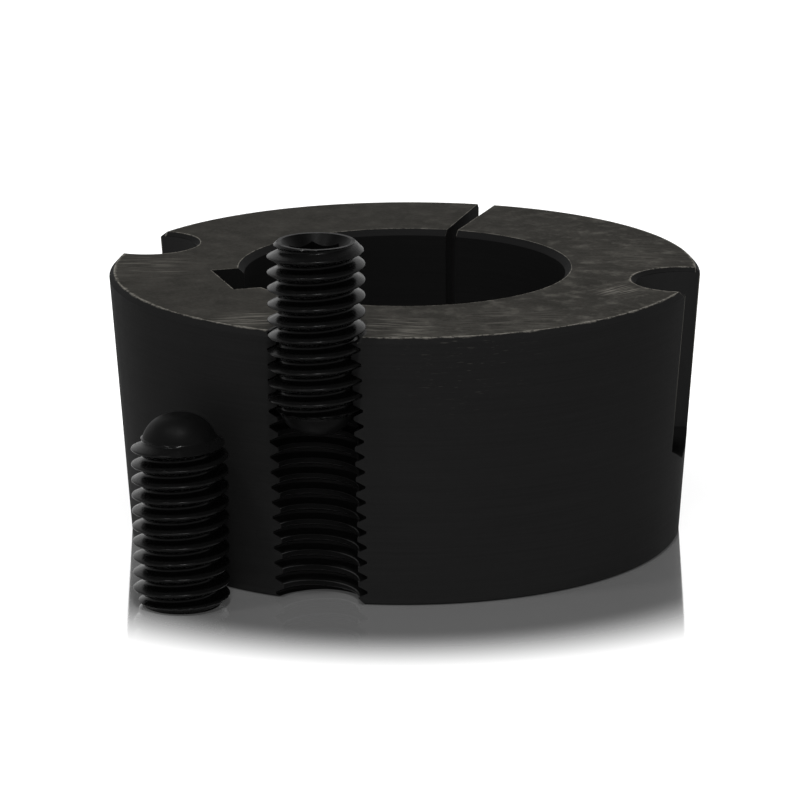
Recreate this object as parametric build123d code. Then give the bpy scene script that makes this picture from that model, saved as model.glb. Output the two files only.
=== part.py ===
"""Split taper bush, size 2012, with its pair of socket set screws.

Frame: origin on the bore axis at the small-end face, +Z towards the large end.
The saw slit opens towards +Y and the threaded half-hole faces -Y.
Every length is in millimetres and every angle in degrees.
"""

from build123d import *
from math import cos, radians, sin, tan
import os

# ---- bush body: turned outside and bore ------------------------------------
large_end_diameter = 69.85
bush_length = 31.75
taper_half_angle = 4.0
bore_diameter = 38.0
large_rim_chamfer = 0.6
small_rim_chamfer = 0.3
bore_chamfer = 0.7

# ---- bush body: keyway and saw slit ----------------------------------------
keyway_width = 10.0
keyway_depth = 3.3
keyway_direction = 214.5
slit_width_at_bore = 1.3
slit_width_at_rim = 2.2
slit_direction = 90.0

# ---- half-holes, centred on the screws' pitch circle -----------------------
# The threaded one is straight across from the slit, a plain one on each side of it.
screw_circle_inset = 1.5875
plain_hole_spread = 95.0
plain_hole_clearance = 0.4
plain_hole_depth = 19.4
plain_hole_chamfer = 0.5
drill_point_angle = 135.0
tapped_thread_depth = 0.95
tapped_mouth_chamfer = 0.75

# ---- screw thread: 7/16 inch Whitworth, 14 turns to the inch ---------------
turns_per_inch = 14
thread_diameter = 11.0
thread_depth = 1.25
thread_crest_width = 0.18
thread_root_width = 0.32
thread_radial_clearance = 0.1
thread_axial_clearance = 0.1
thread_first_height = 1.45

# ---- set screw: socket at one end, domed dog point at the other ------------
screw_length = 22.225
socket_across_flats = 5.56
socket_depth = 7.5
socket_mouth_angle = 90.0
socket_ring_width = 0.45
socket_end_chamfer = 1.1
dog_length = 2.6
dog_relief = 0.08
dog_flat_radius = 0.7
dog_shoulder_angle = 110.0

# ---- where the two screws stand --------------------------------------------
seated_screw_stand_out = 10.5
loose_screw_gap = 0.6
loose_screw_direction = 248.2
loose_screw_turn = 168.0

# ---- worked out ------------------------------------------------------------
threaded_hole_direction = slit_direction + 180
screw_circle_radius = large_end_diameter / 2 - screw_circle_inset
thread_pitch = 25.4 / turns_per_inch
thread_radius = thread_diameter / 2
thread_root_radius = thread_radius - thread_depth
flank_slope = (thread_pitch - thread_crest_width - thread_root_width) / 2 / thread_depth
tapping_drill_radius = thread_radius - tapped_thread_depth
plain_hole_radius = thread_radius + plain_hole_clearance / 2
socket_face_radius = thread_radius - socket_end_chamfer
dog_radius = thread_root_radius - dog_relief
seated_screw_height = bush_length + seated_screw_stand_out

# ---- construction: how far a cutter overshoots, and a ridge sinks into its core
overcut = 1.0
ridge_foot = 0.15


def polar(radius, direction):
    """Point in the XY plane at a radius and a direction from +X."""
    return radius * cos(radians(direction)), radius * sin(radians(direction))


def turned(outline):
    """Solid of revolution about Z from (radius, height) points."""
    return revolve(make_face(Plane.XZ * Polyline(*outline, close=True)), Axis.Z)


# ---- thread ----------------------------------------------------------------

def ridge_half_width(radius):
    """Half the axial width of the screw's thread ridge at a radius."""
    return thread_crest_width / 2 + (thread_radius - radius) * flank_slope


def thread_ridge(inner, outer, axial_clearance, turns):
    """Right-hand helical ridge round Z, its crest passing +X at z = 0.

    Four helices carry its corners, ruled faces join them and a flat face closes each end.
    """
    def corner(radius, side):
        height = side * (ridge_half_width(radius) + axial_clearance)
        return Helix(thread_pitch, turns * thread_pitch, radius, center=(0, 0, height))

    corners = [corner(outer, -1), corner(outer, 1), corner(inner, 1), corner(inner, -1)]
    faces = [
        Face.make_surface_from_curves(corner, following)
        for corner, following in zip(corners, corners[1:] + corners[:1])
    ]
    for end in (0, 1):
        faces.append(make_face(Polyline(*[corner @ end for corner in corners], close=True)).face())
    return Solid(Shell(faces))


def threaded_rod(core, outer, axial_clearance, turns):
    """Round core with the thread ridge fused to it, a little longer than the thread."""
    rod = Cylinder(
        core, turns * thread_pitch + 2 * overcut,
        align=(Align.CENTER, Align.CENTER, Align.MIN),
    )
    ridge = thread_ridge(core - ridge_foot, outer, axial_clearance, turns)
    return Pos(0, 0, -overcut) * rod + ridge


# ---- bush body -------------------------------------------------------------

def outside_radius(height):
    """Radius of the tapered outside at a height above the small-end face."""
    return large_end_diameter / 2 - (bush_length - height) * tan(radians(taper_half_angle))


def bush_blank():
    """Turned blank: tapered outside, straight bore, all four rims chamfered."""
    bore = bore_diameter / 2
    shoulder = bush_length - large_rim_chamfer
    ring = turned([
        (bore, bore_chamfer),
        (bore + bore_chamfer, 0),
        (outside_radius(0) - small_rim_chamfer, 0),
        (outside_radius(small_rim_chamfer), small_rim_chamfer),
        (outside_radius(shoulder), shoulder),
        (outside_radius(bush_length) - large_rim_chamfer, bush_length),
        (bore + bore_chamfer, bush_length),
        (bore, bush_length - bore_chamfer),
    ])
    return Rot(0, 0, slit_direction) * ring


def slit():
    """Wedge of air from bore to rim, wider outside because the bush is sprung open."""
    inner = bore_diameter / 2
    outer = large_end_diameter / 2
    flare = (slit_width_at_rim - slit_width_at_bore) / 2 / (outer - inner)
    half_start = slit_width_at_bore / 2 - overcut * flare
    half_end = slit_width_at_rim / 2 + overcut * flare
    start = inner - overcut
    end = outer + overcut
    outline = Polyline(
        (start, -half_start), (end, -half_end), (end, half_end), (start, half_start), close=True
    )
    wedge = extrude(make_face(outline), bush_length + 2 * overcut)
    return Rot(0, 0, slit_direction) * Pos(0, 0, -overcut) * wedge


def keyway():
    """Square-cornered keyway along the whole bore, its depth taken from the bore wall."""
    start = bore_diameter / 4
    reach = bore_diameter / 2 + keyway_depth
    bar = Box(
        reach - start, keyway_width, bush_length + 2 * overcut,
        align=(Align.MIN, Align.CENTER, Align.MIN),
    )
    return Rot(0, 0, keyway_direction) * Pos(start, 0, -overcut) * bar


def plain_hole():
    """Blind drilled hole from the large end, with a chamfered mouth and a drill point."""
    radius = plain_hole_radius
    drill_point = radius / tan(radians(drill_point_angle / 2))
    hole = turned([
        (0, -plain_hole_depth - drill_point),
        (radius, -plain_hole_depth),
        (radius, -plain_hole_chamfer),
        (radius + plain_hole_chamfer + overcut, overcut),
        (0, overcut),
    ])
    return Pos(0, 0, bush_length) * hole


def tapped_mouth():
    """Cone that chamfers a mouth of the tapped hole, its full size at z = 0."""
    radius = tapping_drill_radius + tapped_mouth_chamfer
    return turned([(0, -overcut), (radius + overcut, -overcut), (0, radius)])


def tapped_thread():
    """The tapping: drill and thread groove in one, the screw's own form with its clearances.

    It starts in the open air of the half-hole, on the side that faces away from the bush.
    """
    open_side = threaded_hole_direction
    turns_below = 2
    turns = int(bush_length / thread_pitch) + 2 * turns_below
    rod = threaded_rod(
        tapping_drill_radius, thread_radius + thread_radial_clearance,
        thread_axial_clearance, turns,
    )
    start = thread_first_height + (open_side / 360 - turns_below) * thread_pitch
    return Pos(0, 0, start) * Rot(0, 0, open_side) * rod


def bush_body():
    """The bush: blank less slit, keyway, two plain half-holes and one threaded half-hole."""
    body = bush_blank() - slit() - keyway()
    for side in (-1, 1):
        direction = threaded_hole_direction + side * plain_hole_spread
        body -= Pos(*polar(screw_circle_radius, direction)) * plain_hole()
    place = Pos(*polar(screw_circle_radius, threaded_hole_direction))
    body -= place * tapped_mouth()
    body -= place * Pos(0, 0, bush_length) * Rot(180, 0, 0) * tapped_mouth()
    body -= place * tapped_thread()
    return body


# ---- set screw -------------------------------------------------------------

def screw_outline():
    """Turned form of the screw, socket face at z = 0 and domed dog point upwards.

    Its middle stands clear of the thread, so that only its two ends shape the threaded rod.
    """
    clear = thread_radius + overcut
    dog_start = screw_length - dog_length
    shoulder = (clear - dog_radius) / tan(radians(dog_shoulder_angle / 2))
    sides = Polyline(
        (dog_radius, dog_start),
        (clear, dog_start - shoulder),
        (clear, clear - socket_face_radius),
        (socket_face_radius, 0),
        (0, 0),
        (0, screw_length),
        (dog_flat_radius, screw_length),
    )
    dome = TangentArc((dog_flat_radius, screw_length), (dog_radius, dog_start), tangent=(1, 0))
    return revolve(make_face(Plane.XZ * (sides + dome)), Axis.Z)


def hex_socket():
    """Hexagon socket with a conical mouth and a drilled cone at its bottom."""
    mouth = socket_face_radius - socket_ring_width
    mouth_slope = tan(radians(socket_mouth_angle / 2))
    flat = socket_across_flats / 2
    drill_point = flat / tan(radians(drill_point_angle / 2))
    hexagon = extrude(RegularPolygon(flat, 6, major_radius=False), socket_depth)
    cone = turned([
        (0, -overcut),
        (mouth + overcut * mouth_slope, -overcut),
        (0, mouth / mouth_slope),
    ])
    point = turned([(0, 0), (flat, socket_depth), (0, socket_depth + drill_point)])
    return hexagon + cone + point


def set_screw():
    """Finished screw: its thread ridge passes +X at z = 0 and at every pitch above."""
    turns_below = 1
    turns = int(screw_length / thread_pitch) + 1 + 2 * turns_below
    rod = threaded_rod(thread_root_radius, thread_radius, 0, turns)
    threaded = screw_outline() & Pos(0, 0, -turns_below * thread_pitch) * rod
    return threaded - hex_socket()


def seated_screw(screw):
    """The screw turned socket up in the half-hole, its thread in step with the tapped one."""
    turns_to_seat = (seated_screw_height - thread_first_height) / thread_pitch
    place = Pos(*polar(screw_circle_radius, threaded_hole_direction), seated_screw_height)
    return place * Rot(0, 0, 360 * turns_to_seat) * Rot(180, 0, 0) * screw


def loose_screw(screw):
    """The other screw, stood beside the bush on its socket face."""
    distance = outside_radius(screw_length) + loose_screw_gap + thread_radius
    place = Pos(*polar(distance, loose_screw_direction))
    return place * Rot(0, 0, loose_screw_turn) * screw


def main():
    os.makedirs("parts", exist_ok=True)
    screw = set_screw()
    nodes = {
        "bush_body": bush_body(),
        "seated_set_screw": seated_screw(screw),
        "loose_set_screw": loose_screw(screw),
    }
    for name, solid in nodes.items():
        export_step(solid, f"parts/{name}.step")


main()
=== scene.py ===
"""Finish, light and camera for the split taper bush and its two socket set screws.

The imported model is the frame. Lengths are in millimetres and angles in degrees, and both are
turned to Blender's units where they are used.
"""

import math

import bpy
from mathutils import Matrix, Vector


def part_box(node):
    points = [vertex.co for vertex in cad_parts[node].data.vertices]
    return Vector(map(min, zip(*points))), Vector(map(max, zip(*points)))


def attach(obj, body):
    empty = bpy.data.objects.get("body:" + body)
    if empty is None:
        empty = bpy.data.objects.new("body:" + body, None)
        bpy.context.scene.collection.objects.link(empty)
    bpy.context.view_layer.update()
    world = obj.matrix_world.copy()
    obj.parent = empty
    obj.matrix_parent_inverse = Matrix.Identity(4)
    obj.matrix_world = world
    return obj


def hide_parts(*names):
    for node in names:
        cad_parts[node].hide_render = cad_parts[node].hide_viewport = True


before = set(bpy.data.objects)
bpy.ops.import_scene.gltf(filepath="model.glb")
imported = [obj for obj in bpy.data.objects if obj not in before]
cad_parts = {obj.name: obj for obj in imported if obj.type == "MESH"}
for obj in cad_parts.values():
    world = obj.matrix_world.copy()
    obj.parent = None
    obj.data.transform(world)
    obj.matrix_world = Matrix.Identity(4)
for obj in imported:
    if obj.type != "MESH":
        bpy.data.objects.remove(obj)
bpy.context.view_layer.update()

MM = 0.001


# ---- the frame's own sizes -------------------------------------------------

def node_box(name):
    """Lowest and highest corner of a CAD node in millimetres."""
    low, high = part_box(name)
    return Vector(low) / MM, Vector(high) / MM


bush_length = node_box("bush_body")[1].z
large_end_radius = 34.925
taper_half_angle = 4.0
large_rim_chamfer = 0.6
bore_radius = 19.0
bore_chamfer = 0.7
screw_circle_radius = 33.3375
threaded_hole_direction = 270.0
plain_hole_spread = 95.0
plain_hole_radius = 5.7
plain_mouth_radius = 6.2
plain_hole_depth = 19.4
threaded_mouth_radius = 5.3
tapping_drill_radius = 4.55
slit_half_width_at_bore = 0.65
slit_half_width_at_rim = 1.1
keyway_direction = 214.5
keyway_half_width = 5.0
keyway_reach = 22.3

# ---- screw, as the solids have it ------------------------------------------
thread_pitch = 25.4 / 14
thread_radius = 5.5
thread_root_radius = 4.25
thread_crest_width = 0.18
thread_root_width = 0.32
thread_first_height = 1.45
socket_face_radius = 4.4
socket_mouth_radius = 3.95
socket_across_flats = 5.56
socket_depth = 7.5
drill_point_angle = 135.0
dog_radius = 4.17
dog_length = 2.6
dog_flat_radius = 0.7
dog_shoulder_angle = 110.0
loose_screw_turn = 168.0

# ---- grain of the finishes -------------------------------------------------
# Phosphate crystals are far too fine to show, so their specks are drawn this coarse.
speck_size = 0.45
stain_size = 5.0
worn_patch_size = 2.4
narrowest_edge_band = 0.15
widest_edge_band = 0.65
# Turning rings lie this far apart and change along the cut over the second length.
ring_spacing = 0.25
ring_length = 14.0
rub_mark_length = 5.0
rub_mark_width = 0.3
oil_patch_size = 1.2
dent_size = 0.3
relief_depth = 0.02

# ---- stage, lamps and camera -----------------------------------------------
floor_half_width = 6000.0
floor_drop = 0.02
floor_glow = 0.5
polish_share = 0.93
polish_full_radius = 42.0
polish_end_radius = 62.0

studio_level = 0.31
ceiling_level = 0.1
ceiling_start = 30.0
ceiling_full = 60.0

# Soft boxes: name, azimuth, elevation, width and power in watts.
SOFT_BOXES = [
    ("soft_box_left", -42.0, 62.0, 80.0, 1.8),
    ("soft_box_right", 16.0, 66.0, 100.0, 5.0),
]
soft_box_distance = 900.0
SOFT_BOX_TARGET = Vector((0.0, 0.0, 20.0))

CAMERA_PLACE = Vector((163.41, -526.28, 163.71))
camera_heading = 17.313
camera_dip = 15.069
camera_roll = -0.2
lens_length = 215.6
sensor_width = 36.0
# Metres: nearest and farthest distance that the camera sees.
CAMERA_RANGE = (0.01, 50.0)


# ---- nodes -----------------------------------------------------------------

def linear(hex_colour):
    """Scene-linear colour of an sRGB hex value such as "#1b1b1b"."""
    def channel(pair):
        value = int(pair, 16) / 255
        return value / 12.92 if value <= 0.04045 else ((value + 0.055) / 1.055) ** 2.4
    digits = hex_colour.lstrip("#")
    return tuple(channel(digits[i:i + 2]) for i in (0, 2, 4)) + (1.0,)


def feed(tree, socket, given):
    """Gives an input a value, joins a socket to it, or joins a node's first output to it."""
    if isinstance(given, bpy.types.Node):
        given = given.outputs[0]
    if isinstance(given, bpy.types.NodeSocket):
        tree.links.new(given, socket)
    else:
        socket.default_value = given


def add_node(tree, kind, inputs=None, **settings):
    """Adds a node with its settings and feeds its inputs, which go by name or number. A list
    feeds all its members to one input."""
    node = tree.nodes.new(kind)
    for name, value in settings.items():
        setattr(node, name, value)
    for key, given in (inputs or {}).items():
        for member in (given if isinstance(given, list) else [given]):
            feed(tree, node.inputs[key], member)
    return node


def new_material(name):
    """Material with an empty node tree, and that tree."""
    material = bpy.data.materials.new(name)
    material.use_nodes = True
    material.node_tree.nodes.clear()
    return material, material.node_tree


# ---- where the iron is worn, and painted highlights on its edges -----------

def polar(radius, direction):
    """Point in the plane of the large-end face at a radius and a direction from +X."""
    angle = math.radians(direction)
    return (radius * math.cos(angle), radius * math.sin(angle), 0.0)


AXIS = (0.0, 0.0, 0.0)
THREADED_HOLE = polar(screw_circle_radius, threaded_hole_direction)
PLAIN_HOLES = [
    polar(screw_circle_radius, threaded_hole_direction + side * plain_hole_spread)
    for side in (-1, 1)
]

# Round edges of the large-end face: centre, radius, and share of the band of wear and painted
# highlight beside that of the outer rim.
ROUND_EDGES = [
    (AXIS, large_end_radius - large_rim_chamfer, 1.0),
    (AXIS, bore_radius + bore_chamfer, 0.35),
    (THREADED_HOLE, threaded_mouth_radius, 0.5),
    (PLAIN_HOLES[0], plain_mouth_radius, 0.5),
    (PLAIN_HOLES[1], plain_mouth_radius, 0.8),
]
straight_edge_band_share = 0.4

# Bundles of rub marks on the large-end face: centre, reach, direction and strength.
RUB_MARKS = [
    ((-30.0, -9.0, 0.0), 8.5, 17.0, 0.4),
    ((-9.0, -30.0, 0.0), 5.0, 20.0, 1.0),
    ((8.0, -29.5, 0.0), 8.0, 5.0, 0.6),
    ((20.0, -22.0, 0.0), 9.0, 24.0, 0.3),
    ((25.0, 13.0, 0.0), 9.0, 10.0, 0.25),
    ((27.0, -4.5, 0.0), 3.5, 60.0, 1.0),
]

# Scuffed patch on the taper, below its rim, and its level strokes.
SCUFF_CENTRE = (17.0, -30.0, 30.0)
scuff_reach = 10.0
scuff_strength = 0.14
scuff_length = 10 / 7
scuff_flatness = 9.0

# A wall counts as cut in once it lies this deep under the taper's surface.
cut_in_depth = 0.1


class SurfacePoint:
    """Where a point of the bush lies, in millimetres, and on which of its surfaces."""

    def __init__(self, tree):
        source = tree.nodes.new("ShaderNodeTexCoord")
        self.place = add_node(tree, "ShaderNodeVectorMath",
                              {0: source.outputs["Object"], "Scale": 1 / MM}, operation="SCALE")
        self.x, self.y, self.z = add_node(tree, "ShaderNodeSeparateXYZ", {0: self.place}).outputs
        self.across = add_node(tree, "ShaderNodeCombineXYZ", {0: self.x, 1: self.y})
        self.radius = add_node(tree, "ShaderNodeVectorMath", {0: self.across},
                               operation="LENGTH").outputs["Value"]

        # Upward is 1 on the large-end face, 0.7 on its chamfers and near 0 on walls.
        facing = add_node(tree, "ShaderNodeSeparateXYZ", {0: source.outputs["Normal"]})
        self.sideways, _, self.upward = facing.outputs
        self.faced = add_node(tree, "ShaderNodeMapRange",
                              {"Value": self.upward, "From Min": 0.94, "From Max": 0.98})
        self.chamfered = add_node(tree, "ShaderNodeMath", {0: self.upward, 1: 0.7, 2: 0.2},
                                  operation="COMPARE")

        # Holes are cut in, so their walls lie deeper than the taper's surface.
        slope = math.tan(math.radians(taper_half_angle))
        taper_radius = add_node(tree, "ShaderNodeMath",
                                {0: self.z, 1: slope,
                                 2: large_end_radius - bush_length * slope - cut_in_depth},
                                operation="MULTIPLY_ADD")
        self.cut_in = add_node(tree, "ShaderNodeMath", {0: self.radius, 1: taper_radius},
                               operation="LESS_THAN")


def slit_gap(tree, point):
    """Distance to the saw slit: two nearly parallel edges that open outwards along +Y."""
    flare = ((slit_half_width_at_rim - slit_half_width_at_bore)
             / (large_end_radius - bore_radius))
    half_width = add_node(tree, "ShaderNodeMath",
                          {0: point.y, 1: flare, 2: slit_half_width_at_bore - flare * bore_radius},
                          operation="MULTIPLY_ADD")
    gap = add_node(tree, "ShaderNodeMath", {0: point.x}, operation="ABSOLUTE")
    gap = add_node(tree, "ShaderNodeMath", {0: gap, 1: half_width}, operation="SUBTRACT")
    gap = add_node(tree, "ShaderNodeMath", {0: gap}, operation="ABSOLUTE")
    behind = add_node(tree, "ShaderNodeMath", {0: point.y, 1: -1.0}, operation="MULTIPLY")
    return add_node(tree, "ShaderNodeMath", {0: gap, 1: behind}, operation="MAXIMUM")


def keyway_gap(tree, point):
    """Distance to the keyway: three sides of a rectangle that points along its own direction."""
    outward = add_node(tree, "ShaderNodeVectorMath",
                       {0: point.across, 1: polar(1, keyway_direction)},
                       operation="DOT_PRODUCT").outputs["Value"]
    sideways = add_node(tree, "ShaderNodeVectorMath",
                        {0: point.across, 1: polar(1, keyway_direction + 90)},
                        operation="DOT_PRODUCT").outputs["Value"]
    side_gap = add_node(tree, "ShaderNodeMath", {0: sideways}, operation="ABSOLUTE")
    side_gap = add_node(tree, "ShaderNodeMath", {0: side_gap, 1: keyway_half_width},
                        operation="SUBTRACT")
    end_gap = add_node(tree, "ShaderNodeMath", {0: outward, 1: keyway_reach}, operation="SUBTRACT")
    gap = add_node(tree, "ShaderNodeMath", {0: side_gap, 1: end_gap}, operation="MAXIMUM")
    gap = add_node(tree, "ShaderNodeMath", {0: gap}, operation="ABSOLUTE")
    behind = add_node(tree, "ShaderNodeMath", {0: outward, 1: -1.0}, operation="MULTIPLY")
    return add_node(tree, "ShaderNodeMath", {0: gap, 1: behind}, operation="MAXIMUM")


def edge_distance(tree, point):
    """Distance in the large-end face from a point to the nearest edge of that face, each
    edge's own divided by its share of the band of wear and painted highlight."""
    gaps = [(slit_gap(tree, point), straight_edge_band_share),
            (keyway_gap(tree, point), straight_edge_band_share)]
    for centre, edge_radius, band_share in ROUND_EDGES:
        away = add_node(tree, "ShaderNodeVectorMath", {0: point.across, 1: centre},
                        operation="DISTANCE").outputs["Value"]
        gap = add_node(tree, "ShaderNodeMath", {0: away, 1: edge_radius}, operation="SUBTRACT")
        gaps.append((add_node(tree, "ShaderNodeMath", {0: gap}, operation="ABSOLUTE"), band_share))

    distances = [
        add_node(tree, "ShaderNodeMath", {0: gap, 1: band_share}, operation="DIVIDE")
        for gap, band_share in gaps
    ]
    nearest = distances[0]
    for distance in distances[1:]:
        nearest = add_node(tree, "ShaderNodeMath", {0: nearest, 1: distance},
                           operation="MINIMUM")
    return nearest


def worn_and_highlit_edges(tree, point, speckle, edge_band_width, tapped):
    """Thin, broken lines along the edges of the face and over its rim chamfer, partly bare metal
    and partly a painted highlight of the edges' rounding. The thread of the tapped hole stays
    black."""
    edge_band = add_node(tree, "ShaderNodeMapRange",
                    {"Value": edge_distance(tree, point), "From Min": edge_band_width,
                     "From Max": 0.0, "To Max": 0.9})
    nibbled = add_node(tree, "ShaderNodeMapRange",
                       {"Value": speckle, "From Min": 0.32, "From Max": 0.55})
    edge_band = add_node(tree, "ShaderNodeMath", {0: edge_band, 1: nibbled}, operation="MULTIPLY")
    on_top = add_node(tree, "ShaderNodeMath", {0: point.z, 1: bush_length - large_rim_chamfer},
                      operation="GREATER_THAN")
    on_rim = add_node(tree, "ShaderNodeMath", {0: point.chamfered, 1: on_top},
                      operation="MULTIPLY")
    reached = add_node(tree, "ShaderNodeMath", {0: on_rim, 1: 0.7, 2: point.faced},
                       operation="MULTIPLY_ADD")
    reached = add_node(tree, "ShaderNodeMath", {0: reached, 1: tapped}, operation="SUBTRACT",
                       use_clamp=True)
    return add_node(tree, "ShaderNodeMath", {0: edge_band, 1: reached}, operation="MULTIPLY")


def rub_marks(tree, point, centre, reach, direction, strength):
    """Bundle of fine strokes on the face, all in one direction, that thins out to its reach."""
    along = add_node(tree, "ShaderNodeVectorMath",
                     {0: point.across, 1: polar(1 / rub_mark_length, direction)},
                     operation="DOT_PRODUCT").outputs["Value"]
    over = add_node(tree, "ShaderNodeVectorMath",
                    {0: point.across, 1: polar(1 / rub_mark_width, direction + 90)},
                    operation="DOT_PRODUCT").outputs["Value"]
    spot = add_node(tree, "ShaderNodeCombineXYZ", {0: along, 1: over, 2: direction})
    marks = add_node(tree, "ShaderNodeTexNoise", {"Vector": spot, "Scale": 1.0, "Detail": 2.0})
    marks = add_node(tree, "ShaderNodeMapRange",
                     {"Value": marks, "From Min": 0.48, "From Max": 0.7})
    away = add_node(tree, "ShaderNodeVectorMath", {0: point.across, 1: centre},
                    operation="DISTANCE").outputs["Value"]
    patch = add_node(tree, "ShaderNodeMapRange",
                     {"Value": away, "From Min": reach, "From Max": 0.2 * reach,
                      "To Max": strength})
    return add_node(tree, "ShaderNodeMath", {0: marks, 1: patch}, operation="MULTIPLY")


def rubbed_face(tree, point, patches):
    """Blotches on the face, stronger towards +X where it is handled most, and its rub marks."""
    strength = add_node(tree, "ShaderNodeMapRange",
                        {"Value": point.x, "From Min": -12.0, "From Max": 22.0, "To Min": 0.06,
                         "To Max": 0.27})
    rubbed = add_node(tree, "ShaderNodeMapRange",
                      {"Value": patches, "From Min": 0.5, "From Max": 0.75, "To Max": strength})
    for bundle in RUB_MARKS:
        marks = rub_marks(tree, point, *bundle)
        rubbed = add_node(tree, "ShaderNodeMath", {0: rubbed, 1: marks}, operation="MAXIMUM")
    return add_node(tree, "ShaderNodeMath", {0: rubbed, 1: point.faced}, operation="MULTIPLY")


def worn_and_highlit_hole_edges(tree, point, off_wall, edge_band_width):
    """Pale line down the upright edges where a plain half-hole breaks out of the taper, partly bare
    metal and partly a painted highlight of the edge, less of it further down."""
    off_edge = add_node(tree, "ShaderNodeMath", {0: off_wall}, operation="ABSOLUTE")
    edge_band = add_node(tree, "ShaderNodeMapRange",
                    {"Value": off_edge, "From Min": edge_band_width, "From Max": 0.0, "To Max": 0.6})
    upper = add_node(tree, "ShaderNodeMapRange",
                     {"Value": point.z, "From Min": bush_length - plain_hole_depth,
                      "From Max": bush_length - 3.0})
    edge_band = add_node(tree, "ShaderNodeMath", {0: edge_band, 1: upper}, operation="MULTIPLY")
    on_taper = add_node(tree, "ShaderNodeMath", {0: 1.0, 1: point.cut_in}, operation="SUBTRACT")
    return add_node(tree, "ShaderNodeMath", {0: edge_band, 1: on_taper}, operation="MULTIPLY")


def taper_scuffs(tree, point):
    """Faint level strokes, far longer than high, in one patch below the rim."""
    squeezed = add_node(tree, "ShaderNodeMath", {0: point.z, 1: scuff_flatness},
                        operation="MULTIPLY")
    spot = add_node(tree, "ShaderNodeCombineXYZ", {0: point.x, 1: point.y, 2: squeezed})
    scuffs = add_node(tree, "ShaderNodeTexNoise",
                      {"Vector": spot, "Scale": 1 / scuff_length, "Detail": 2.0})
    scuffs = add_node(tree, "ShaderNodeMapRange",
                      {"Value": scuffs, "From Min": 0.64, "From Max": 0.74})
    away = add_node(tree, "ShaderNodeVectorMath", {0: point.place, 1: SCUFF_CENTRE},
                    operation="DISTANCE").outputs["Value"]
    patch = add_node(tree, "ShaderNodeMapRange",
                     {"Value": away, "From Min": scuff_reach, "From Max": 0.1 * scuff_reach,
                      "To Max": scuff_strength})
    return add_node(tree, "ShaderNodeMath", {0: scuffs, 1: patch}, operation="MULTIPLY")


# ---- the iron itself -------------------------------------------------------

def stained_face(tree, point, speckle):
    """Cloudy staining of the large-end face with pale specks on it, and its colour."""
    clouds = add_node(tree, "ShaderNodeTexNoise",
                      {"Vector": point.across, "Scale": 1 / stain_size, "Detail": 5.0,
                       "Roughness": 0.65})
    clouds = add_node(tree, "ShaderNodeMapRange",
                      {"Value": clouds, "From Min": 0.25, "From Max": 0.75, "To Max": 0.7})
    pale = add_node(tree, "ShaderNodeMapRange",
                    {"Value": speckle, "From Min": 0.45, "From Max": 0.8})
    stain = add_node(tree, "ShaderNodeMath", {0: pale, 1: 0.5, 2: clouds},
                     operation="MULTIPLY_ADD")
    colour = add_node(tree, "ShaderNodeMix",
                      {"Factor": stain, 6: linear("#201f1c"), 7: linear("#302e2a")},
                      data_type="RGBA").outputs[2]
    return stain, colour


def turned_taper(tree, point):
    """Rings that the turning tool leaves, up the taper and across the face, and the colour
    they give the taper."""
    tool_path = add_node(tree, "ShaderNodeMath", {0: point.z, 1: point.radius}, operation="ADD")
    tool_path = add_node(tree, "ShaderNodeMath", {0: tool_path, 1: ring_spacing},
                         operation="DIVIDE")
    spot = add_node(tree, "ShaderNodeVectorMath", {0: point.across, "Scale": 1 / ring_length},
                    operation="SCALE")
    spot_x, spot_y, _ = add_node(tree, "ShaderNodeSeparateXYZ", {0: spot}).outputs
    spot = add_node(tree, "ShaderNodeCombineXYZ", {0: spot_x, 1: spot_y, 2: tool_path})
    rings = add_node(tree, "ShaderNodeTexNoise", {"Vector": spot, "Scale": 1.0, "Detail": 2.0})
    colour = add_node(tree, "ShaderNodeMix",
                      {"Factor": rings, 6: linear("#1a1a1a"), 7: linear("#202020")},
                      data_type="RGBA").outputs[2]
    return rings, colour


def painted_shade(tree, point):
    """Painted shade, as a share of black: full in the slit, less in the bore and keyway, where
    shade falls, and on the chamfers, which it keeps as dark as the taper beside them though they
    face the light more."""
    chamfers = add_node(tree, "ShaderNodeMath", {0: point.chamfered, 1: 0.25},
                        operation="MULTIPLY")
    near_slit = add_node(tree, "ShaderNodeMath",
                         {0: point.x, 1: 0.0, 2: slit_half_width_at_rim + 0.2},
                         operation="COMPARE")
    sideways = add_node(tree, "ShaderNodeMath", {0: point.sideways}, operation="ABSOLUTE")
    sideways = add_node(tree, "ShaderNodeMath", {0: sideways, 1: 0.8}, operation="GREATER_THAN")
    slit = add_node(tree, "ShaderNodeMath", {0: near_slit, 1: sideways}, operation="MULTIPLY")
    within = add_node(tree, "ShaderNodeMath", {0: point.radius, 1: keyway_reach + 0.6},
                      operation="LESS_THAN")
    upright = add_node(tree, "ShaderNodeMath", {0: point.upward, 1: 0.0, 2: 0.5},
                       operation="COMPARE")
    bore = add_node(tree, "ShaderNodeMath", {0: within, 1: upright}, operation="MULTIPLY")
    bore = add_node(tree, "ShaderNodeMath", {0: bore, 1: 0.35}, operation="MULTIPLY")
    share = add_node(tree, "ShaderNodeMath", {0: chamfers, 1: slit}, operation="MAXIMUM")
    return add_node(tree, "ShaderNodeMath", {0: share, 1: bore}, operation="MAXIMUM")


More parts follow.
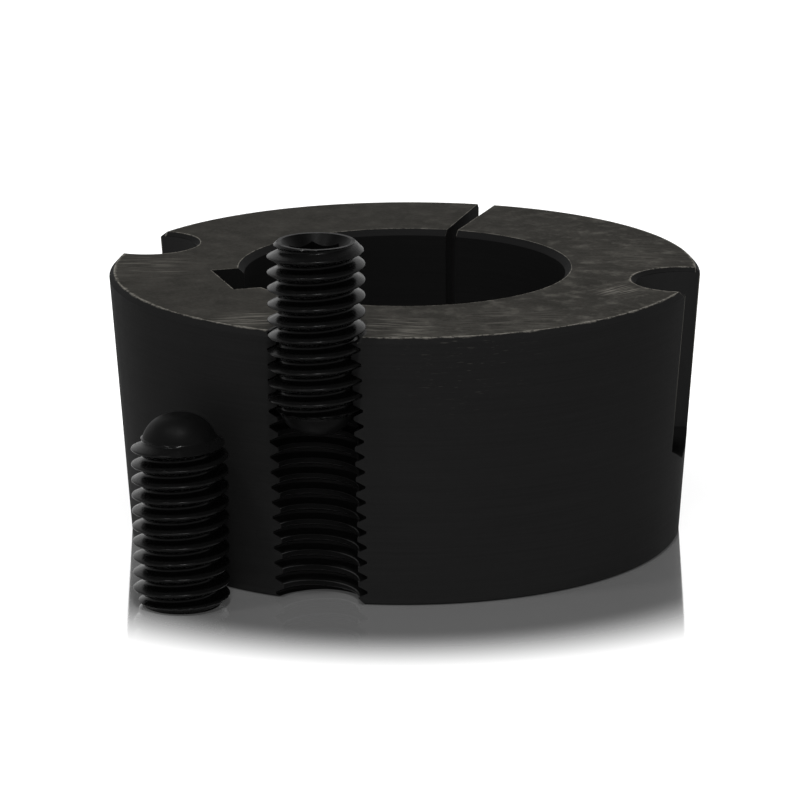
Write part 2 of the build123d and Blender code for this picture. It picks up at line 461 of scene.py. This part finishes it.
def drilled_walls(tree, point):
    """Walls of the plain half-holes, smoother than the taper and paler with a painted sheen, down
    to the cone of the drill point, which is darker.

    Gives the distance from the wall, where the finish applies, and its colour.
    """
    off_axes = [
        add_node(tree, "ShaderNodeVectorMath", {0: point.across, 1: centre},
                 operation="DISTANCE").outputs["Value"]
        for centre in PLAIN_HOLES
    ]
    off_axis = add_node(tree, "ShaderNodeMath", {0: off_axes[0], 1: off_axes[1]},
                        operation="MINIMUM")
    off_wall = add_node(tree, "ShaderNodeMath", {0: off_axis, 1: plain_hole_radius},
                        operation="SUBTRACT")
    drilled = add_node(tree, "ShaderNodeMath", {0: off_wall, 1: 0.05}, operation="LESS_THAN")
    drilled = add_node(tree, "ShaderNodeMath", {0: drilled, 1: point.cut_in},
                       operation="MULTIPLY")
    # Painted sheen: the wall is paler than the taper; the cone of the drill point is darker.
    on_cone = add_node(tree, "ShaderNodeMath", {0: point.upward, 1: 0.3},
                       operation="GREATER_THAN")
    colour = add_node(tree, "ShaderNodeMix",
                      {"Factor": on_cone, 6: linear("#252525"), 7: linear("#121212")},
                      data_type="RGBA").outputs[2]
    return off_wall, drilled, colour


def tapped_wall(tree, point):
    """Wall of the threaded half-hole: darker than the taper at its thread's crests, painted lighter
    deep in the grooves to offset their shade, with a painted highlight in a thin line along the
    corners of its thread. Gives where the finish applies, and its colour."""
    off_axis = add_node(tree, "ShaderNodeVectorMath", {0: point.across, 1: THREADED_HOLE},
                        operation="DISTANCE").outputs["Value"]
    tapped = add_node(tree, "ShaderNodeMath", {0: off_axis, 1: thread_radius + 0.12},
                      operation="LESS_THAN")
    tapped = add_node(tree, "ShaderNodeMath", {0: tapped, 1: point.cut_in}, operation="MULTIPLY")
    # Painted light: the grooves get lighter the deeper they go, offsetting their shade.
    into_groove = add_node(tree, "ShaderNodeMapRange",
                           {"Value": off_axis, "From Min": tapping_drill_radius + 0.2,
                            "From Max": thread_radius})
    colour = add_node(tree, "ShaderNodeMix",
                      {"Factor": into_groove, 6: linear("#111111"), 7: linear("#1a1a1a")},
                      data_type="RGBA").outputs[2]
    # Painted highlight: a thin pale line along the corners of the thread.
    on_corner = add_node(tree, "ShaderNodeMath",
                         {0: off_axis, 1: tapping_drill_radius + 0.08, 2: 0.05},
                         operation="COMPARE")
    colour = add_node(tree, "ShaderNodeMix",
                      {"Factor": on_corner, 6: colour, 7: linear("#363636")},
                      data_type="RGBA").outputs[2]
    return tapped, colour


def phosphated_iron():
    """Grey cast iron, turned, faced and drilled, then manganese phosphated.

    The phosphate is a dull black. The faced large end is handled and stacked, so it has gone a
    cloudy warm grey, with pale rub marks, and bare metal along its edges that is partly a painted
    highlight. Painted shade darkens the slit, bore, keyway and chamfers, and the half-hole walls
    carry painted light and highlights. Faint turning rings run round the taper.
    """
    material, tree = new_material("phosphated_cast_iron")
    point = SurfacePoint(tree)
    speckle = add_node(tree, "ShaderNodeTexNoise",
                       {"Vector": point.place, "Scale": 1 / speck_size, "Detail": 2.0,
                        "Roughness": 0.7})
    stain, face_colour = stained_face(tree, point, speckle)
    rings, taper_colour = turned_taper(tree, point)
    off_wall, drilled, drilled_colour = drilled_walls(tree, point)
    tapped, tapped_colour = tapped_wall(tree, point)

    # Wear and painted highlight come in patches, which widen the band along the edges, and the band
    # is narrower on the chamfers.
    patches = add_node(tree, "ShaderNodeTexNoise",
                       {"Vector": point.across, "Scale": 1 / worn_patch_size, "Detail": 4.0,
                        "Roughness": 0.65})
    edge_band_width = add_node(tree, "ShaderNodeMapRange",
                          {"Value": patches, "From Min": 0.4, "From Max": 0.7,
                           "To Min": narrowest_edge_band, "To Max": widest_edge_band})
    narrower = add_node(tree, "ShaderNodeMath", {0: point.chamfered, 1: -0.7, 2: 1.0},
                        operation="MULTIPLY_ADD")
    edge_band_width = add_node(tree, "ShaderNodeMath", {0: edge_band_width, 1: narrower},
                          operation="MULTIPLY")
    bare_and_highlit = worn_and_highlit_edges(tree, point, speckle, edge_band_width, tapped)
    for more in (rubbed_face(tree, point, patches),
                 worn_and_highlit_hole_edges(tree, point, off_wall, edge_band_width),
                 taper_scuffs(tree, point)):
        bare_and_highlit = add_node(tree, "ShaderNodeMath", {0: bare_and_highlit, 1: more}, operation="MAXIMUM")

    colour = taper_colour
    for share, coat in ((point.faced, face_colour),
                        # Painted shade in the slit, bore and keyway and on the chamfers.
                        (painted_shade(tree, point), linear("#040404")),
                        (drilled, drilled_colour),
                        (tapped, tapped_colour),
                        # Bare metal, partly a painted highlight along the edges, with the rub marks
                        # and scuffs.
                        (bare_and_highlit, linear("#7d7a73"))):
        colour = add_node(tree, "ShaderNodeMix", {"Factor": share, 6: colour, 7: coat},
                          data_type="RGBA").outputs[2]

    roughness = add_node(tree, "ShaderNodeMapRange",
                         {"Value": stain, "To Min": 0.62, "To Max": 0.5})
    machined = add_node(tree, "ShaderNodeMath", {0: drilled, 1: tapped}, operation="MAXIMUM")
    roughness = add_node(tree, "ShaderNodeMix",
                         {"Factor": machined, 2: roughness, 3: 0.38}, data_type="FLOAT")
    relief = add_node(tree, "ShaderNodeMath", {0: rings, 1: speckle}, operation="ADD")
    bump = add_node(tree, "ShaderNodeBump",
                    {"Height": relief, "Strength": 0.25, "Distance": relief_depth * MM})
    shader = add_node(tree, "ShaderNodeBsdfPrincipled",
                      {"Base Color": colour, "Roughness": roughness, "Normal": bump,
                       "Specular IOR Level": 0.01})
    add_node(tree, "ShaderNodeOutputMaterial", {"Surface": shader})
    return material


def black_oxide_steel(name, colour, smoothest, roughest, gloss):
    """Alloy steel, oil blackened: near black, with the sheen of its oil broken up into small
    glints by an uneven film and fine dents.

    Rolled threads shine the most and a turned point is duller. The seated screw's socket and
    point get the blackest copy, painted shade for the point down in the half-hole and for the
    socket.
    """
    material, tree = new_material(name)
    source = tree.nodes.new("ShaderNodeTexCoord")
    place = add_node(tree, "ShaderNodeVectorMath",
                     {0: source.outputs["Object"], "Scale": 1 / MM}, operation="SCALE")
    film = add_node(tree, "ShaderNodeTexNoise",
                    {"Vector": place, "Scale": 1 / oil_patch_size, "Detail": 3.0,
                     "Roughness": 0.6})
    roughness = add_node(tree, "ShaderNodeMapRange",
                         {"Value": film, "From Min": 0.35, "From Max": 0.65,
                          "To Min": smoothest, "To Max": roughest})
    dents = add_node(tree, "ShaderNodeTexNoise",
                     {"Vector": place, "Scale": 1 / dent_size, "Detail": 1.0})
    bump = add_node(tree, "ShaderNodeBump",
                    {"Height": dents, "Strength": 0.5, "Distance": relief_depth * MM})
    shader = add_node(tree, "ShaderNodeBsdfPrincipled",
                      {"Base Color": linear(colour), "Roughness": roughness, "Normal": bump,
                       "Specular IOR Level": gloss})
    add_node(tree, "ShaderNodeOutputMaterial", {"Surface": shader})
    return material


# ---- set screws ------------------------------------------------------------

SCREW_SIZES = {
    "Thread Radius": thread_radius,
    "Root Radius": thread_root_radius,
    "Crest Width": thread_crest_width,
    "Root Width": thread_root_width,
    "Pitch": thread_pitch,
    "Face Radius": socket_face_radius,
    "Mouth Radius": socket_mouth_radius,
    "Socket Half Width": socket_across_flats / 2,
    "Socket Depth": socket_depth,
    "Drill Point Depth": socket_across_flats / 2 / math.tan(math.radians(drill_point_angle / 2)),
    "Dog Length": dog_length,
    "Dog Radius": dog_radius,
    "Dog Flat Radius": dog_flat_radius,
    "Shoulder Slope": math.tan(math.radians(dog_shoulder_angle / 2)),
}
SCREW_COUNTS = {"Segments": 144, "Thread Rows": 300, "Dome Rows": 28}
weld_distance = 0.001
sharp_edge_angle = 40.0


class ScrewPoint:
    """Where a point lies in the mesh that reads it, a blank tube or the finished screw, and its
    angle about the screw's axis."""

    def __init__(self, tree):
        place = tree.nodes.new("GeometryNodeInputPosition")
        self.x, self.y, self.z = add_node(tree, "ShaderNodeSeparateXYZ", {0: place}).outputs
        self.angle = add_node(tree, "ShaderNodeMath", {0: self.y, 1: self.x},
                              operation="ARCTAN2")


def open_tube(tree, size, point, rows, depth, radius, height):
    """Blank open tube, shaped by giving each of its points a radius and a height."""
    blank = add_node(tree, "GeometryNodeMeshCylinder",
                     {"Vertices": size["Segments"], "Side Segments": rows, "Radius": 1.0,
                      "Depth": depth}, fill_type="NONE")
    across = add_node(tree, "ShaderNodeMath", {0: point.x, 1: radius}, operation="MULTIPLY")
    along = add_node(tree, "ShaderNodeMath", {0: point.y, 1: radius}, operation="MULTIPLY")
    spot = add_node(tree, "ShaderNodeCombineXYZ", {0: across, 1: along, 2: height})
    return add_node(tree, "GeometryNodeSetPosition", {"Geometry": blank, "Position": spot})


def socket_tube(tree, size, point):
    """Socket: rows run from the drill point along the hexagon to the mouth and over the face."""
    off_corner = add_node(tree, "ShaderNodeMath", {0: point.angle, 1: math.pi / 6},
                          operation="PINGPONG")
    off_flat = add_node(tree, "ShaderNodeMath", {0: math.pi / 6, 1: off_corner},
                        operation="SUBTRACT")
    off_flat = add_node(tree, "ShaderNodeMath", {0: off_flat}, operation="COSINE")
    hexagon = add_node(tree, "ShaderNodeMath", {0: size["Socket Half Width"], 1: off_flat},
                       operation="DIVIDE")
    bottom = add_node(tree, "ShaderNodeMath",
                      {0: size["Socket Depth"], 1: size["Drill Point Depth"]}, operation="ADD")
    # The mouth is a cone at 45 degrees, so it meets the hexagon as deep as it narrows.
    mouth = add_node(tree, "ShaderNodeMath", {0: size["Mouth Radius"], 1: hexagon},
                     operation="SUBTRACT")
    rows = [
        (0.0, bottom),
        (size["Socket Half Width"], size["Socket Depth"]),
        (hexagon, size["Socket Depth"]),
        (hexagon, mouth),
        (size["Mouth Radius"], 0.0),
        (size["Face Radius"], 0.0),
    ]
    spans = len(rows) - 1
    row = add_node(tree, "ShaderNodeMath", {0: point.z, 1: spans / 2}, operation="ADD")
    row = add_node(tree, "FunctionNodeFloatToInt", {0: row}, rounding_mode="ROUND")
    laid = []
    for values in zip(*rows):
        switch = add_node(tree, "GeometryNodeIndexSwitch", {"Index": row}, data_type="FLOAT")
        while len(switch.index_switch_items) < len(rows):
            switch.index_switch_items.new()
        for number, value in enumerate(values, start=1):
            feed(tree, switch.inputs[number], value)
        laid.append(switch)
    return open_tube(tree, size, point, spans, float(spans), *laid)


def thread_radius_at(tree, size, point, height):
    """Radius of the thread at a height: how far each point is from the crest line gives it.
    Crest and root are rounded by a smooth minimum and maximum, as rolled threads are."""
    turn = add_node(tree, "ShaderNodeMath", {0: point.angle, 1: 2 * math.pi}, operation="DIVIDE")
    lead = add_node(tree, "ShaderNodeMath", {0: turn, 1: size["Pitch"]}, operation="MULTIPLY")
    off_crest = add_node(tree, "ShaderNodeMath", {0: height, 1: lead}, operation="SUBTRACT")
    half_pitch = add_node(tree, "ShaderNodeMath", {0: size["Pitch"], 1: 0.5},
                          operation="MULTIPLY")
    off_crest = add_node(tree, "ShaderNodeMath", {0: off_crest, 1: half_pitch},
                         operation="PINGPONG")
    half_crest = add_node(tree, "ShaderNodeMath", {0: size["Crest Width"], 1: 0.5},
                          operation="MULTIPLY")
    half_root = add_node(tree, "ShaderNodeMath", {0: size["Root Width"], 1: 0.5},
                         operation="MULTIPLY")
    flats = add_node(tree, "ShaderNodeMath", {0: half_crest, 1: half_root}, operation="ADD")
    run = add_node(tree, "ShaderNodeMath", {0: half_pitch, 1: flats}, operation="SUBTRACT")
    rise = add_node(tree, "ShaderNodeMath", {0: size["Thread Radius"], 1: size["Root Radius"]},
                    operation="SUBTRACT")
    steepness = add_node(tree, "ShaderNodeMath", {0: rise, 1: run}, operation="DIVIDE")

    # Sharp apex and valley of the flanks stand off the crest and the root by the rounding.
    crest_round = add_node(tree, "ShaderNodeMath", {0: half_crest, 1: steepness},
                           operation="MULTIPLY")
    root_round = add_node(tree, "ShaderNodeMath", {0: half_root, 1: steepness},
                          operation="MULTIPLY")
    apex = add_node(tree, "ShaderNodeMath", {0: size["Thread Radius"], 1: crest_round},
                    operation="ADD")
    fall = add_node(tree, "ShaderNodeMath", {0: off_crest, 1: steepness}, operation="MULTIPLY")
    flank = add_node(tree, "ShaderNodeMath", {0: apex, 1: fall}, operation="SUBTRACT")
    crested = add_node(tree, "ShaderNodeMath",
                       {0: flank, 1: size["Thread Radius"], 2: crest_round},
                       operation="SMOOTH_MIN")
    return add_node(tree, "ShaderNodeMath", {0: crested, 1: size["Root Radius"], 2: root_round},
                    operation="SMOOTH_MAX")


def thread_tube(tree, size, point, dog_start):
    """Thread, cut back to the chamfer at the socket end and to the shoulder of the dog point."""
    half_start = add_node(tree, "ShaderNodeMath", {0: dog_start, 1: 0.5}, operation="MULTIPLY")
    height = add_node(tree, "ShaderNodeMath", {0: point.z, 1: half_start}, operation="ADD")
    threaded = thread_radius_at(tree, size, point, height)
    # The groove runs out at the socket face, which keeps a whole edge.
    run_out = add_node(tree, "ShaderNodeMath", {0: size["Face Radius"], 1: height},
                       operation="SUBTRACT")
    threaded = add_node(tree, "ShaderNodeMath", {0: threaded, 1: run_out}, operation="MAXIMUM")
    end_cone = add_node(tree, "ShaderNodeMath", {0: size["Face Radius"], 1: height},
                        operation="ADD")
    to_dog = add_node(tree, "ShaderNodeMath", {0: dog_start, 1: height}, operation="SUBTRACT")
    shoulder = add_node(tree, "ShaderNodeMath",
                        {0: to_dog, 1: size["Shoulder Slope"], 2: size["Dog Radius"]},
                        operation="MULTIPLY_ADD")
    ends = add_node(tree, "ShaderNodeMath", {0: end_cone, 1: shoulder}, operation="MINIMUM")
    radius = add_node(tree, "ShaderNodeMath", {0: threaded, 1: ends}, operation="MINIMUM")
    return open_tube(tree, size, point, size["Thread Rows"], dog_start, radius, height)


def dome_tube(tree, size, point):
    """Dome: one arc, level where it meets the small flat, that ends on the dog's edge."""
    step_in = add_node(tree, "ShaderNodeMath", {0: size["Dog Radius"], 1: size["Dog Flat Radius"]},
                       operation="SUBTRACT")
    chord = add_node(tree, "ShaderNodeMath", {0: step_in, 1: step_in}, operation="MULTIPLY")
    chord = add_node(tree, "ShaderNodeMath",
                     {0: size["Dog Length"], 1: size["Dog Length"], 2: chord},
                     operation="MULTIPLY_ADD")
    twice_drop = add_node(tree, "ShaderNodeMath", {0: size["Dog Length"], 1: 2.0},
                          operation="MULTIPLY")
    arc_radius = add_node(tree, "ShaderNodeMath", {0: chord, 1: twice_drop}, operation="DIVIDE")
    centre = add_node(tree, "ShaderNodeMath", {0: size["Length"], 1: arc_radius},
                      operation="SUBTRACT")
    first = add_node(tree, "ShaderNodeMath", {0: step_in, 1: arc_radius}, operation="DIVIDE")
    first = add_node(tree, "ShaderNodeMath", {0: first}, operation="ARCCOSINE")
    angle = add_node(tree, "ShaderNodeMapRange",
                     {"Value": point.z, "From Min": -0.5, "From Max": 0.5, "To Min": first,
                      "To Max": math.pi / 2})
    reach = add_node(tree, "ShaderNodeMath", {0: angle}, operation="COSINE")
    lift = add_node(tree, "ShaderNodeMath", {0: angle}, operation="SINE")
    radius = add_node(tree, "ShaderNodeMath",
                      {0: reach, 1: arc_radius, 2: size["Dog Flat Radius"]},
                      operation="MULTIPLY_ADD")
    height = add_node(tree, "ShaderNodeMath", {0: lift, 1: arc_radius, 2: centre},
                      operation="MULTIPLY_ADD")
    return open_tube(tree, size, point, size["Dome Rows"], 1.0, radius, height)


def dog_flat(tree, size):
    """Small round flat that closes the top of the dome."""
    flat = add_node(tree, "GeometryNodeMeshCircle",
                    {"Vertices": size["Segments"], "Radius": size["Dog Flat Radius"]},
                    fill_type="NGON")
    top = add_node(tree, "ShaderNodeCombineXYZ", {2: size["Length"]})
    return add_node(tree, "GeometryNodeTransform", {"Geometry": flat, "Translation": top})


def turned_faces(tree, size, point, dog_start):
    """Faces that are turned, not rolled: the socket, the face round it and the dog point."""
    from_axis = add_node(tree, "ShaderNodeCombineXYZ", {0: point.x, 1: point.y})
    from_axis = add_node(tree, "ShaderNodeVectorMath", {0: from_axis},
                         operation="LENGTH").outputs["Value"]
    in_socket = add_node(tree, "FunctionNodeCompare", {0: from_axis, 1: size["Mouth Radius"]},
                         data_type="FLOAT", operation="LESS_THAN")
    on_face = add_node(tree, "FunctionNodeCompare", {0: point.z, 1: 0.01}, data_type="FLOAT",
                       operation="LESS_THAN")
    on_dog = add_node(tree, "FunctionNodeCompare", {0: point.z, 1: dog_start},
                      data_type="FLOAT", operation="GREATER_THAN")
    at_socket = add_node(tree, "FunctionNodeBooleanMath", {0: in_socket, 1: on_face},
                         operation="OR")
    return add_node(tree, "FunctionNodeBooleanMath", {0: at_socket, 1: on_dog}, operation="OR")


def screw_tree():
    """Geometry Nodes for one set screw, socket face at z = 0 and domed dog point upwards.

    Three open tubes of the same segments are shaped by Set Position and welded: the socket
    with the face round it, the thread, and the dome.
    """
    tree = bpy.data.node_groups.new("dog_point_set_screw", "GeometryNodeTree")
    tree.is_modifier = True
    for name in ("Length", *SCREW_SIZES):
        tree.interface.new_socket(name, in_out="INPUT", socket_type="NodeSocketFloat")
    for name in SCREW_COUNTS:
        tree.interface.new_socket(name, in_out="INPUT", socket_type="NodeSocketInt")
    for name in ("Thread Material", "Point Material"):
        tree.interface.new_socket(name, in_out="INPUT", socket_type="NodeSocketMaterial")
    tree.interface.new_socket("Screw", in_out="OUTPUT", socket_type="NodeSocketGeometry")
    size = tree.nodes.new("NodeGroupInput").outputs
    point = ScrewPoint(tree)
    dog_start = add_node(tree, "ShaderNodeMath", {0: size["Length"], 1: size["Dog Length"]},
                         operation="SUBTRACT")

    parts = [
        socket_tube(tree, size, point),
        thread_tube(tree, size, point, dog_start),
        dome_tube(tree, size, point),
        dog_flat(tree, size),
    ]
    joined = add_node(tree, "GeometryNodeJoinGeometry", {0: parts})
    welded = add_node(tree, "GeometryNodeMergeByDistance",
                      {"Geometry": joined, "Distance": weld_distance})
    smooth = add_node(tree, "GeometryNodeSetShadeSmooth", {0: welded}, domain="FACE")
    bend = add_node(tree, "GeometryNodeInputMeshEdgeAngle")
    sharp = add_node(tree, "FunctionNodeCompare", {0: bend, 1: math.radians(sharp_edge_angle)},
                     data_type="FLOAT", operation="GREATER_THAN")
    creased = add_node(tree, "GeometryNodeSetShadeSmooth",
                       {0: smooth, "Selection": sharp, "Shade Smooth": False}, domain="EDGE")
    real = add_node(tree, "GeometryNodeRealizeInstances", {0: creased})
    rolled = add_node(tree, "GeometryNodeSetMaterial",
                      {0: real, "Material": size["Thread Material"]})
    turned = add_node(tree, "GeometryNodeSetMaterial",
                      {0: rolled, "Selection": turned_faces(tree, size, point, dog_start),
                       "Material": size["Point Material"]})
    add_node(tree, "NodeGroupOutput", {0: turned})
    return tree


def make_screw(name, node_name, tree, thread_material, point_material, turn, point_down):
    """One set screw in the place of its CAD node, turned about its own axis."""
    low, high = node_box(node_name)
    maker = bpy.data.objects.new(name + "_blank", bpy.data.meshes.new(name + "_blank"))
    bpy.context.scene.collection.objects.link(maker)
    modifier = maker.modifiers.new("screw", "NODES")
    modifier.node_group = tree
    sockets = {item.name: item.identifier for item in tree.interface.items_tree
               if item.in_out == "INPUT"}
    values = {
        "Length": high.z - low.z, **SCREW_SIZES, **SCREW_COUNTS,
        "Thread Material": thread_material, "Point Material": point_material,
    }
    for key, value in values.items():
        modifier[sockets[key]] = value
    mesh = bpy.data.meshes.new_from_object(
        maker.evaluated_get(bpy.context.evaluated_depsgraph_get()))
    bpy.data.objects.remove(maker)
    mesh.name = name

    foot = high.z if point_down else low.z
    place = Matrix.Translation(Vector(((low.x + high.x) / 2, (low.y + high.y) / 2, foot)))
    turned = Matrix.Rotation(math.radians(turn), 4, "Z")
    over = Matrix.Rotation(math.pi if point_down else 0, 4, "X")
    mesh.transform(Matrix.Scale(MM, 4) @ place @ turned @ over)
    piece = bpy.data.objects.new(name, mesh)
    bpy.context.scene.collection.objects.link(piece)
    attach(piece, "root")
    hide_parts(node_name)


# ---- stage, lamps and camera -----------------------------------------------

def white_acrylic():
    """White acrylic sheet, polished where the object stands and matt further out.

    The camera sees it at full white, which adds no light to the object. The object's shadow
    stays, and its reflection fades out with the polish and as the sheet is seen from above.
    """
    material, tree = new_material("white_acrylic_sheet")
    path = tree.nodes.new("ShaderNodeLightPath")
    glow = add_node(tree, "ShaderNodeMath", {0: path.outputs["Is Camera Ray"], 1: floor_glow},
                    operation="MULTIPLY")
    matt = add_node(tree, "ShaderNodeBsdfPrincipled",
                    {"Base Color": linear("#f4f4f4"), "Roughness": 0.6,
                     "Specular IOR Level": 0.0, "Emission Color": linear("#ffffff"),
                     "Emission Strength": glow})
    polish = add_node(tree, "ShaderNodeBsdfGlossy", {"Color": linear("#ffffff"), "Roughness": 0.06})
    source = tree.nodes.new("ShaderNodeTexCoord")
    away = add_node(tree, "ShaderNodeVectorMath", {0: source.outputs["Object"]},
                    operation="LENGTH").outputs["Value"]
    share = add_node(tree, "ShaderNodeMapRange",
                     {"Value": away, "From Min": polish_full_radius * MM,
                      "From Max": polish_end_radius * MM, "To Min": polish_share, "To Max": 0.0},
                     interpolation_type="SMOOTHSTEP")
    share = add_node(tree, "ShaderNodeMath", {0: share, 1: path.outputs["Is Camera Ray"]},
                     operation="MULTIPLY")
    slant = add_node(tree, "ShaderNodeLayerWeight").outputs["Facing"]
    slant = add_node(tree, "ShaderNodeMapRange",
                     {"Value": slant, "From Min": 0.35, "From Max": 0.65})
    share = add_node(tree, "ShaderNodeMath", {0: share, 1: slant}, operation="MULTIPLY")
    sheet = add_node(tree, "ShaderNodeMixShader", {0: share, 1: matt, 2: polish})
    add_node(tree, "ShaderNodeOutputMaterial", {"Surface": sheet})
    return material


def make_floor():
    """Large level sheet just under the object's resting face."""
    half = floor_half_width * MM
    level = -floor_drop * MM
    corners = [
        (-half, -half, level),
        (half, -half, level),
        (half, half, level),
        (-half, half, level),
    ]
    mesh = bpy.data.meshes.new("floor")
    mesh.from_pydata(corners, [], [(0, 1, 2, 3)])
    mesh.materials.append(white_acrylic())
    floor = bpy.data.objects.new("floor", mesh)
    bpy.context.scene.collection.objects.link(floor)


def soft_box(name, azimuth, elevation, width, power):
    """Square soft box that faces the object from an azimuth and an elevation."""
    light = bpy.data.lights.new(name, "AREA")
    light.shape = "SQUARE"
    light.size = width * MM
    light.energy = power
    lamp = bpy.data.objects.new(name, light)
    around = math.radians(azimuth)
    up = math.radians(elevation)
    away = Vector((math.sin(around) * math.cos(up), -math.cos(around) * math.cos(up), math.sin(up)))
    lamp.location = (SOFT_BOX_TARGET + away * soft_box_distance) * MM
    lamp.rotation_euler = away.to_track_quat("Z", "Y").to_euler()
    bpy.context.scene.collection.objects.link(lamp)


def make_world():
    """Even studio light. Camera and gloss see a white backdrop, and gloss sees it fade to a
    dim ceiling overhead."""
    world = bpy.data.worlds.new("studio")
    world.use_nodes = True
    tree = world.node_tree
    tree.nodes.clear()
    path = tree.nodes.new("ShaderNodeLightPath")
    source = tree.nodes.new("ShaderNodeTexCoord")
    upward = add_node(tree, "ShaderNodeSeparateXYZ", {0: source.outputs["Generated"]}).outputs["Z"]
    overhead = add_node(tree, "ShaderNodeMapRange",
                        {"Value": upward, "From Min": math.sin(math.radians(ceiling_start)),
                         "From Max": math.sin(math.radians(ceiling_full)), "To Min": 1.0,
                         "To Max": ceiling_level}, interpolation_type="SMOOTHSTEP")
    glossed = add_node(tree, "ShaderNodeMath",
                       {0: path.outputs["Is Glossy Ray"], 1: path.outputs["Is Transmission Ray"]},
                       operation="MAXIMUM")
    strength = add_node(tree, "ShaderNodeMix", {"Factor": glossed, 2: studio_level, 3: overhead},
                        data_type="FLOAT")
    strength = add_node(tree, "ShaderNodeMix",
                        {"Factor": path.outputs["Is Camera Ray"], 2: strength, 3: 1.0},
                        data_type="FLOAT")
    background = add_node(tree, "ShaderNodeBackground",
                          {"Color": linear("#ffffff"), "Strength": strength})
    add_node(tree, "ShaderNodeOutputWorld", {"Surface": background})
    bpy.context.scene.world = world


def make_camera():
    """Long lens at a low height in front of the object, a little to its right."""
    data = bpy.data.cameras.new("camera")
    data.lens = lens_length
    data.sensor_width = sensor_width
    data.clip_start, data.clip_end = CAMERA_RANGE
    camera = bpy.data.objects.new("camera", data)
    heading = Matrix.Rotation(math.radians(camera_heading), 4, "Z")
    dip = Matrix.Rotation(math.radians(90 - camera_dip), 4, "X")
    roll = Matrix.Rotation(math.radians(camera_roll), 4, "Z")
    camera.matrix_world = Matrix.Translation(CAMERA_PLACE * MM) @ heading @ dip @ roll
    bpy.context.scene.collection.objects.link(camera)
    bpy.context.scene.camera = camera


# ---- putting it together ---------------------------------------------------

iron = phosphated_iron()
rolled_steel = black_oxide_steel("rolled_black_oxide_steel", "#0b0b0b",
                                 smoothest=0.18, roughest=0.3, gloss=0.06)
turned_steel = black_oxide_steel("turned_black_oxide_steel", "#090909",
                                 smoothest=0.44, roughest=0.52, gloss=0.04)
# Painted shade: darker copy for the seated screw's socket and its point in the half-hole.
painted_shade_steel = black_oxide_steel("painted_shade_black_oxide_steel", "#070707",
                                  smoothest=0.34, roughest=0.44, gloss=0.034)
for name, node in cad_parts.items():
    node.data.materials.clear()
    node.data.materials.append(iron if name == "bush_body" else rolled_steel)

tree = screw_tree()
seated_top = node_box("seated_set_screw")[1].z
seated_screw_turn = 360 * (seated_top - thread_first_height) / thread_pitch
make_screw("seated_screw", "seated_set_screw", tree, rolled_steel, painted_shade_steel,
           turn=seated_screw_turn, point_down=True)
make_screw("loose_screw", "loose_set_screw", tree, rolled_steel, turned_steel,
           turn=loose_screw_turn, point_down=False)

make_floor()
make_camera()
make_world()
for box in SOFT_BOXES:
    soft_box(*box)

bpy.context.scene.view_settings.view_transform = "Standard"
